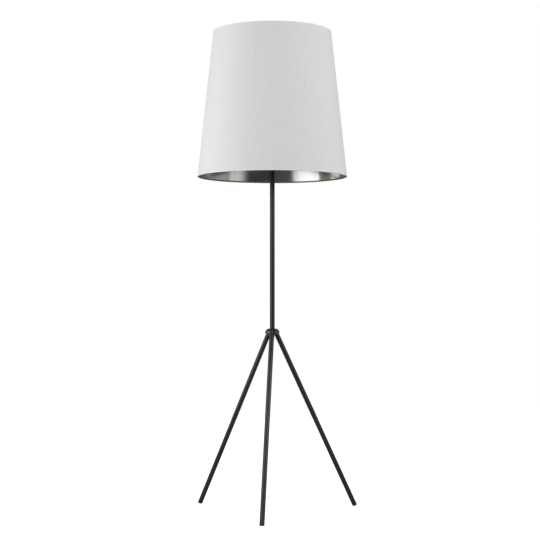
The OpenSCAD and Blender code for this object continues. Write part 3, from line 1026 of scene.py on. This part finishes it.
@dataclass
class Bulb:
    """A pear-shaped opal bulb with a threaded cap."""

    frame: dict
    glass: float = 1.0 * MM
    cap_wall: float = 0.5 * MM
    neck_inset: float = 0.05 * MM
    neck_lean: float = 52.0
    neck_reach: float = 0.55
    hip_pull: float = 0.8
    neck_pull: float = 0.7
    cap_rows: int = 60
    thread_pitch: float = 3.6 * MM
    thread_depth: float = 0.6 * MM
    plain_rim: float = 4 * MM

    def globe(self) -> None:
        """Turns the glass: a ball that runs down into a hollow-sided neck."""
        globe, cap = Round.of("bulb_globe"), Round.of("bulb_cap")
        neck, roof = cap.radius - self.neck_inset, globe.high - self.glass
        lean = math.radians(self.neck_lean)
        outer = arc((0, globe.high - globe.radius), globe.radius, 90, self.neck_lean - 90, 36)
        hip_r, hip_z = outer[-1]
        reach = (hip_z - globe.low) * self.neck_reach
        pull = (hip_r - reach * math.sin(lean) * self.hip_pull, hip_z - reach * math.cos(lean))
        pull_neck = (neck, globe.low + reach * self.neck_pull)
        outer += bezier((hip_r, hip_z), pull, pull_neck, (neck, globe.low), 14)[1:]
        inner = [(max(r - self.glass, 0), min(z, roof)) for r, z in reversed(outer[1:])]
        outline = outer + inner + [(0, roof)]
        bm = lathe(outline, globe.axis, 72, closed=False)
        finished("opal_globe", bm, OPAL, "bulb", ("bulb_globe",))

    def cap(self) -> None:
        """Rolls the thread into the bulb's cap."""
        cap = Round.of("bulb_cap")
        heights = rows_between(cap.low, cap.high, self.cap_rows)
        inner = cap.radius - self.cap_wall
        outline = [(cap.radius, z) for z in heights] + [(inner, z) for z in reversed(heights)]
        bm = lathe(outline, cap.axis, 72)
        top = cap.high - self.plain_rim
        threaded(bm, cap.axis, self.thread_depth, self.thread_pitch, cap.low, top)
        finished("threaded_cap", bm, CAP_METAL, "bulb", ("bulb_cap",))

    def build(self) -> None:
        """Builds the bulb."""
        self.globe()
        self.cap()
        dressed(self.frame, NYLON, "bulb_insulator")
        dressed(self.frame, CAP_METAL, "bulb_contact")


@dataclass
class Shade:
    """The tapered drum: laminated cloth, foil lining, rolled hems, wire rings and spider."""

    frame: dict
    steps: int = 288
    rows: int = 24
    tape: float = 0.4 * MM
    cloth: float = 0.6 * MM
    foil: float = 0.8 * MM
    hem_width: float = 5.6 * MM
    hem_fold: float = 1.2 * MM
    hem_tip: float = 0.15 * MM
    lap_width: float = 12 * MM
    lap_rise: float = 0.25 * MM
    ripple: float = 0.25 * MM
    ripple_held: float = 0.15
    # each wave's depth, number round the drum, climb up the drum and phase
    ripple_waves: tuple[tuple[float, ...], ...] = ((1.0, 9, 2.1, 0.0), (0.6, 17, -3.7, 1.3))
    arm_radius: float = 2 * MM
    arm_edge: float = 0.5 * MM
    arm_start: float = 9.5 * MM
    weld_radius: float = 2.7 * MM
    weld_shape: Triple = (0.75, 1.15, 0.8)
    washer_radius: float = 12.5 * MM
    washer_hole: float = 3.475 * MM
    washer_thickness: float = 2 * MM
    washer_edge: float = 0.4 * MM

    def __post_init__(self) -> None:
        """Reads the drum's edges from its two hem tapes."""
        bottom, top = Round.of("shade_bottom_trim"), Round.of("shade_top_trim")
        self.axis = bottom.axis
        self.low, self.high = bottom.low, top.high
        self.slope = self.taper()
        self.low_r = Round.of("shade_cover").radius + self.tape + self.slope * self.tape
        self.high_r = self.low_r - self.slope * (self.high - self.low)

    def taper(self) -> float:
        """Measures the drum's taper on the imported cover's rims.

        Returns:
            How much the drum's radius shrinks for each metre up.
        """
        points = [v.co for v in self.frame["nodes"]["shade_cover"].data.vertices]
        low, top = min(p.z for p in points), max(p.z for p in points)
        low_r, top_r = (
            max(
                math.hypot(p.x - self.axis.x, p.y - self.axis.y)
                for p in points
                if abs(p.z - z) < RIM_DEPTH
            )
            for z in (low, top)
        )
        return (low_r - top_r) / (top - low)

    def radius(self, height: float, inset: float) -> float:
        """Returns the wall's radius at a height, inset from the drum's outer face."""
        return self.low_r - self.slope * (height - self.low) - inset

    def wall(self, inset: float, thickness: float) -> bmesh.types.BMesh:
        """Turns one layer of the drum's wall, between its two hems' folds.

        Args:
            inset: How far the layer's outer face is inside the drum's outer face.
            thickness: The layer's thickness.

        Returns:
            The layer's mesh, with a UV map in metres: round the drum, and up it.
        """
        low, high = self.low + self.tape, self.high - self.tape
        heights = rows_between(low, high, self.rows)
        outline = [(self.radius(z, inset), z) for z in heights]
        outline += [(self.radius(z, inset + thickness), z) for z in reversed(heights)]
        return self.mapped(lathe(outline, self.axis, self.steps))

    def mapped(self, bm: bmesh.types.BMesh) -> bmesh.types.BMesh:
        """Lays a UV map in metres on a band: U round the drum at its middle, V up the drum.

        Args:
            bm: The band.

        Returns:
            The same band.
        """
        layer = bm.loops.layers.uv.new("cloth")
        middle_r = (self.low_r + self.high_r) / 2
        for face in bm.faces:
            centre = face.calc_center_median() - self.axis
            middle = math.atan2(centre.y, centre.x)
            for loop in face.loops:
                spot = loop.vert.co - self.axis
                turn = (math.atan2(spot.y, spot.x) - middle + math.pi) % math.tau - math.pi
                loop[layer].uv = ((middle + turn) * middle_r, spot.z)
        return bm

    def rippled(self, bm: bmesh.types.BMesh) -> bmesh.types.BMesh:
        """Draws the foil inwards in slow waves, as a rolled styrene sheet never lies quite true.

        Args:
            bm: The foil's wall.

        Returns:
            The same wall.
        """
        for vert in bm.verts:
            out = Vector((vert.co.x - self.axis.x, vert.co.y - self.axis.y, 0)).normalized()
            turn = math.atan2(out.y, out.x)
            up = (vert.co.z - self.low) / (self.high - self.low)
            wave = sum(
                depth * math.sin(count * turn + climb * up + phase)
                for depth, count, climb, phase in self.ripple_waves
            )
            # the rings hold the sheet truer near its edges
            free = min(up, 1 - up, self.ripple_held) / self.ripple_held
            vert.co -= out * self.ripple * (0.4 + 0.6 * free) * (0.5 + 0.3 * wave)
        return bm

    def lap(self) -> bpy.types.Object:
        """Builds the glued upright lap where the cloth's two ends meet, at the back of the drum.

        Returns:
            The lap.
        """
        bm = bmesh.new()
        half = self.lap_width / 2
        bmesh.ops.create_grid(bm, x_segments=4, y_segments=self.rows, size=1.0)
        low, high = self.low + self.tape, self.high - self.tape
        for vert in bm.verts:
            z = low + (high - low) * (vert.co.y + 1) / 2
            radius = self.radius(z, self.tape) + 0.5 * self.lap_rise
            turn = math.pi / 2 - vert.co.x * half / radius
            vert.co = self.axis + Vector((radius * math.cos(turn), radius * math.sin(turn), z))
        bmesh.ops.solidify(bm, geom=bm.faces, thickness=self.lap_rise)
        bmesh.ops.recalc_face_normals(bm, faces=bm.faces)
        return finished("back_lap", self.mapped(bm), CLOTH, "shade")

    def hem(self, name: str, node: str, edge_z: float, up: int) -> bpy.types.Object:
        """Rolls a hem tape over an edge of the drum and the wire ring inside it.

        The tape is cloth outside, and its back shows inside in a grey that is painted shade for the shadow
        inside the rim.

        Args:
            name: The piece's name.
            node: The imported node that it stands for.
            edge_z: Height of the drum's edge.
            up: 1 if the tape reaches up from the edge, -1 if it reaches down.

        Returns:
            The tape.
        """
        band = Round.of(node)
        tip, fold = edge_z + up * (band.high - band.low), edge_z + up * self.tape
        wide, outside, inside = self.hem_width, self.hem_fold, self.hem_fold - self.tape
        section = [
            (0, tip, self.hem_tip), (0, edge_z, outside),
            (wide, edge_z, outside), (wide, tip, self.hem_tip),
            (wide - self.tape, tip, self.hem_tip), (wide - self.tape, fold, inside),
            (self.tape, fold, inside), (self.tape, tip, self.hem_tip),
        ]
        corners = [(self.radius(z, inset), z, edge) for inset, z, edge in section]
        bm = self.mapped(lathe(rounded(corners), self.axis, self.steps))
        for face in bm.faces:
            spot = face.calc_center_median() - self.axis
            inset = self.radius(spot.z, 0) - math.hypot(spot.x, spot.y)
            face.material_index = int(inset > wide / 2)
        tape = finished(name, bm, HEM_CLOTH, "shade", (node,))
        # the back's grey is painted shade for the shadow inside the rim
        tape.data.materials.append(HEM_BACK_PAINTED_SHADE.material())
        return tape

    def ring(self, name: str, node: str) -> None:
        """Bends one wire ring.

        Args:
            name: The piece's name.
            node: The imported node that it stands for.
        """
        place = Round.of(node)
        thick = (place.high - place.low) / 2
        outline = arc((place.radius - thick, (place.low + place.high) / 2), thick, 0, 330, 11)
        finished(name, lathe(outline, self.axis, 192), ENAMEL, "shade", (node,))

    def spider(self) -> None:
        """Builds the spider: a pressed washer with three arms welded to it and to the top ring."""
        ring, arm, edge = Round.of("shade_top_ring"), self.arm_radius, self.washer_edge
        ring_z, wire = (ring.low + ring.high) / 2, (ring.high - ring.low) / 2
        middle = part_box("shade_spider")[0].z + arm
        low, high = middle - self.washer_thickness / 2, middle + self.washer_thickness / 2
        washer = tube_outline(self.washer_hole, self.washer_radius, low, high, edge, edge)
        parts = [lathe(washer, self.axis, 48)]
        for degrees in (90, 210, 330):
            turn = math.radians(degrees)
            out = Vector((math.cos(turn), math.sin(turn), 0))
            inner = self.axis + out * self.arm_start + UP * middle
            outer = self.axis + out * (ring.radius - wire * 1.6) + UP * ring_z
            parts.append(rod(inner, outer, arm, self.arm_edge, 24))
            weld = bmesh.new()
            bmesh.ops.create_uvsphere(
                weld, u_segments=16, v_segments=10, radius=self.weld_radius,
                matrix=Matrix.Translation(outer - out * 0.4 * arm)
                @ Matrix.Rotation(turn, 4, "Z")
                @ Matrix.Diagonal((*self.weld_shape, 1.0)),
            )
            parts.append(weld)
        finished("welded_spider", joined(parts), ENAMEL, "shade", ("shade_spider",))

    def build(self) -> None:
        """Builds the whole shade."""
        cloth = self.wall(self.tape, self.cloth)
        cover = finished("drum_cloth", cloth, CLOTH, "shade", ("shade_cover",))
        foil = self.rippled(self.wall(self.tape + self.cloth, self.foil))
        finished("foil_lining", foil, FOIL, "shade", ("shade_lining",))
        tapes = [
            self.hem("bottom_hem", "shade_bottom_trim", self.low, 1),
            self.hem("top_hem", "shade_top_trim", self.high, -1),
        ]
        self.ring("top_wire", "shade_top_ring")
        self.ring("bottom_wire", "shade_bottom_ring")
        self.spider()
        self.declare([self.lap(), *tapes])

    def declare(self, on_it: list[bpy.types.Object]) -> None:
        """Works out the cloth's radius at its lower and upper edges, and does nothing more with them.

        Args:
            on_it: Not used.
        """
        low_r, high_r = self.radius(self.low, self.tape), self.radius(self.high, self.tape)


@dataclass
class Finial:
    """The knob that screws the shade down on the harp's stud."""

    ball: float = 6.5 * MM
    ball_sink: float = 4.5 * MM
    neck: float = 4.2 * MM
    neck_foot: float = 1 * MM
    neck_flare: float = 1.2 * MM
    base: float = 3 * MM
    base_edge: float = 0.8 * MM
    bore: float = 3.475 * MM
    bore_edge: float = 0.2 * MM
    bore_depth: float = 10.3 * MM

    def build(self) -> None:
        """Turns the finial: a disc, a hollow neck and a ball."""
        finial = Round.of("finial")
        ball_z, flange = finial.high - self.ball, finial.low + self.base
        roof = finial.low + self.bore_depth
        turned = rounded(
            [
                (self.bore, finial.low, self.bore_edge), (finial.radius, finial.low, self.base_edge),
                (finial.radius, flange, self.base_edge),
                (self.neck, flange + self.neck_foot, self.neck_flare),
                (self.neck, ball_z - self.ball_sink, 0), (0, ball_z, 0),
            ]
        )[:-1]
        turned += [
            p for p in arc((0, ball_z), self.ball, -60, 90, 24) if p[0] > self.neck or p[1] > ball_z
        ]
        bm = lathe([(0, roof), (self.bore, roof)] + turned, finial.axis, 56, closed=False)
        finished("turned_finial", bm, BRASS, "finial", ("finial",))


# ---- the studio --------------------------------------------------------------------------------


@dataclass(frozen=True)
class Softbox:
    """A large soft light, placed round the stem axis and turned to face it.

    Its azimuth counts from the camera's side, and above 0 is to the camera's right.
    """

    name: str
    azimuth: float
    distance: float
    height: float
    width: float
    tall: float
    radiance: float
    colour: str = "#FFFFFF"


@dataclass
class Studio:
    """A pale floor, a white surround, soft lights and the camera."""

    axis: Vector
    lens: float = 92.93
    distance: float = 5.1338
    camera_height: float = 0.7775
    pitch: float = 1.2099
    azimuth: float = 6.0
    aim_off: float = 0.0945
    floor_radius: float = 4.0
    floor_seen: float = 1.2
    floor_level: float = 0.3
    front_level: float = 0.055
    left_level: float = 0.3
    right_level: float = 0.5
    back_level: float = 0.24
    top_level: float = 0.28
    aim_height: float = 1.2
    softboxes: tuple[Softbox, ...] = (
        Softbox("key_left", -60, 2.6, 1.15, 2.3, 2.3, 1.93),
        Softbox("fill_right", 62, 2.8, 1.15, 1.25, 2.3, 0.5, "#FFF5E8"),
        Softbox("warm_card", -118, 2.6, 1.2, 0.62, 2.0, 1.05, "#FFE8B4"),
        Softbox("spill_left", -20, 2.6, 1.15, 1.4, 2.3, 0.042),
        Softbox("high_left", -88, 2.6, 2.1, 1.5, 1.0, 3.1),
        Softbox("high_right", 66, 2.6, 2.1, 1.5, 1.0, 5.5),
        Softbox("high_front", -2, 2.6, 3.3, 2.4, 1.2, 1.4),
        Softbox("camera_side", 0, 5.4, 1.95, 2.2, 1.8, 1.9),
    )

    def camera(self) -> None:
        """Places the camera."""
        data = bpy.data.cameras.new("camera")
        data.lens, data.sensor_width = self.lens, 36.0
        camera = bpy.data.objects.new("camera", data)
        turn = math.radians(self.azimuth)
        camera.location = self.axis + Vector(
            (self.distance * math.sin(turn), -self.distance * math.cos(turn), self.camera_height)
        )
        yaw = turn + math.radians(self.aim_off)
        camera.rotation_euler = (math.radians(90 + self.pitch), 0, yaw)
        bpy.context.scene.collection.objects.link(camera)
        bpy.context.scene.camera = camera

    def floor(self) -> None:
        """Lays the floor."""
        bm = bmesh.new()
        bmesh.ops.create_circle(bm, cap_ends=True, segments=96, radius=self.floor_radius)
        mesh = bpy.data.meshes.new("floor")
        bm.to_mesh(mesh)
        bm.free()
        material = bpy.data.materials.new("lit_acrylic_floor")
        material.use_nodes = True
        tree = material.node_tree
        tree.nodes.clear()
        # a lit acrylic table, with its glow kept off the lamp by a louvre sheet
        seen = add_node(tree, "ShaderNodeLightPath")
        glow = add_node(
            tree,
            "ShaderNodeMix",
            {"Factor": seen.outputs["Is Camera Ray"], "A": self.floor_level, "B": self.floor_seen},
            data_type="FLOAT",
        )
        shader = add_node(
            tree,
            "ShaderNodeBsdfPrincipled",
            {
                "Base Color": linear("#5A5A5A"),
                "Roughness": 0.9,
                "Specular IOR Level": 0.1,
                "Emission Color": linear("#FFFFFF"),
                "Emission Strength": glow.outputs["Result"],
            },
        )
        out = add_node(tree, "ShaderNodeOutputMaterial")
        tree.links.new(shader.outputs["BSDF"], out.inputs["Surface"])
        mesh.materials.append(material)
        floor = bpy.data.objects.new("floor", mesh)
        bpy.context.scene.collection.objects.link(floor)

    def surround(self) -> None:
        """Lights the lamp from a white cove behind and above it, dim on the camera's side."""
        world = bpy.data.worlds.new("studio")
        bpy.context.scene.world = world
        world.use_nodes = True
        tree = world.node_tree
        tree.nodes.clear()
        place = add_node(tree, "ShaderNodeTexCoord")
        turn = math.radians(self.azimuth)
        to_camera = Vector((math.sin(turn), -math.cos(turn), 0))
        to_right = Vector((math.cos(turn), math.sin(turn), 0))
        # what each zone faces, where its edge starts and ends, its level, and its edge's shape
        zones = (
            (to_right, -0.4, 0.4, self.right_level, "LINEAR"),
            (to_camera, 0.62, 0.8, self.front_level, "SMOOTHSTEP"),
            (-to_camera, 0.3, 0.8, self.back_level, "SMOOTHSTEP"),
            (UP, 0.25, 0.6, self.top_level, "SMOOTHSTEP"),
        )
        level = self.left_level
        for direction, start, end, zone_level, shape in zones:
            facing = add_node(
                tree,
                "ShaderNodeVectorMath",
                {0: place.outputs["Generated"], 1: direction},
                operation="DOT_PRODUCT",
            )
            zone = add_node(
                tree,
                "ShaderNodeMapRange",
                {
                    "Value": facing.outputs["Value"], "From Min": start, "From Max": end,
                    "To Min": level, "To Max": zone_level,
                },
                interpolation_type=shape,
            )
            level = zone.outputs["Result"]
        seen = add_node(tree, "ShaderNodeLightPath")
        strength = add_node(
            tree,
            "ShaderNodeMix",
            {"Factor": seen.outputs["Is Camera Ray"], "A": level, "B": 1.0},
            data_type="FLOAT",
        )
        back = add_node(
            tree,
            "ShaderNodeBackground",
            {"Color": linear("#FFFFFF"), "Strength": strength.outputs["Result"]},
        )
        out = add_node(tree, "ShaderNodeOutputWorld")
        tree.links.new(back.outputs["Background"], out.inputs["Surface"])

    def lights(self) -> None:
        """Hangs the soft boxes, facing the lamp and out of the camera's sight."""
        for box in self.softboxes:
            data = bpy.data.lights.new(box.name, "AREA")
            data.shape, data.size, data.size_y = "RECTANGLE", box.width, box.tall
            data.energy = box.radiance * math.pi * box.width * box.tall
            data.color = linear(box.colour)[:3]
            light = bpy.data.objects.new(box.name, data)
            turn = math.radians(self.azimuth + box.azimuth)
            away = Vector((math.sin(turn), -math.cos(turn), 0))
            light.location = self.axis + away * box.distance + UP * box.height
            aim = self.axis + UP * min(box.height, self.aim_height)
            light.rotation_euler = (aim - light.location).to_track_quat("-Z", "Y").to_euler()
            light.visible_camera = False
            bpy.context.scene.collection.objects.link(light)

    def build(self) -> None:
        """Sets up the studio."""
        self.camera()
        self.floor()
        self.surround()
        self.lights()
        view = bpy.context.scene.view_settings
        view.view_transform, view.look = "Standard", "None"


def main() -> None:
    """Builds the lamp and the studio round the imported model."""
    logging.basicConfig(level=logging.INFO, format="%(message)s")
    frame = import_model()
    Base(frame).build()
    Column().build()
    Harp(frame).build()
    Socket(frame).build()
    Bulb(frame).build()
    Shade(frame).build()
    Finial().build()
    Studio(Round.of("stem").axis).build()


if __name__ == "__main__":
    main()
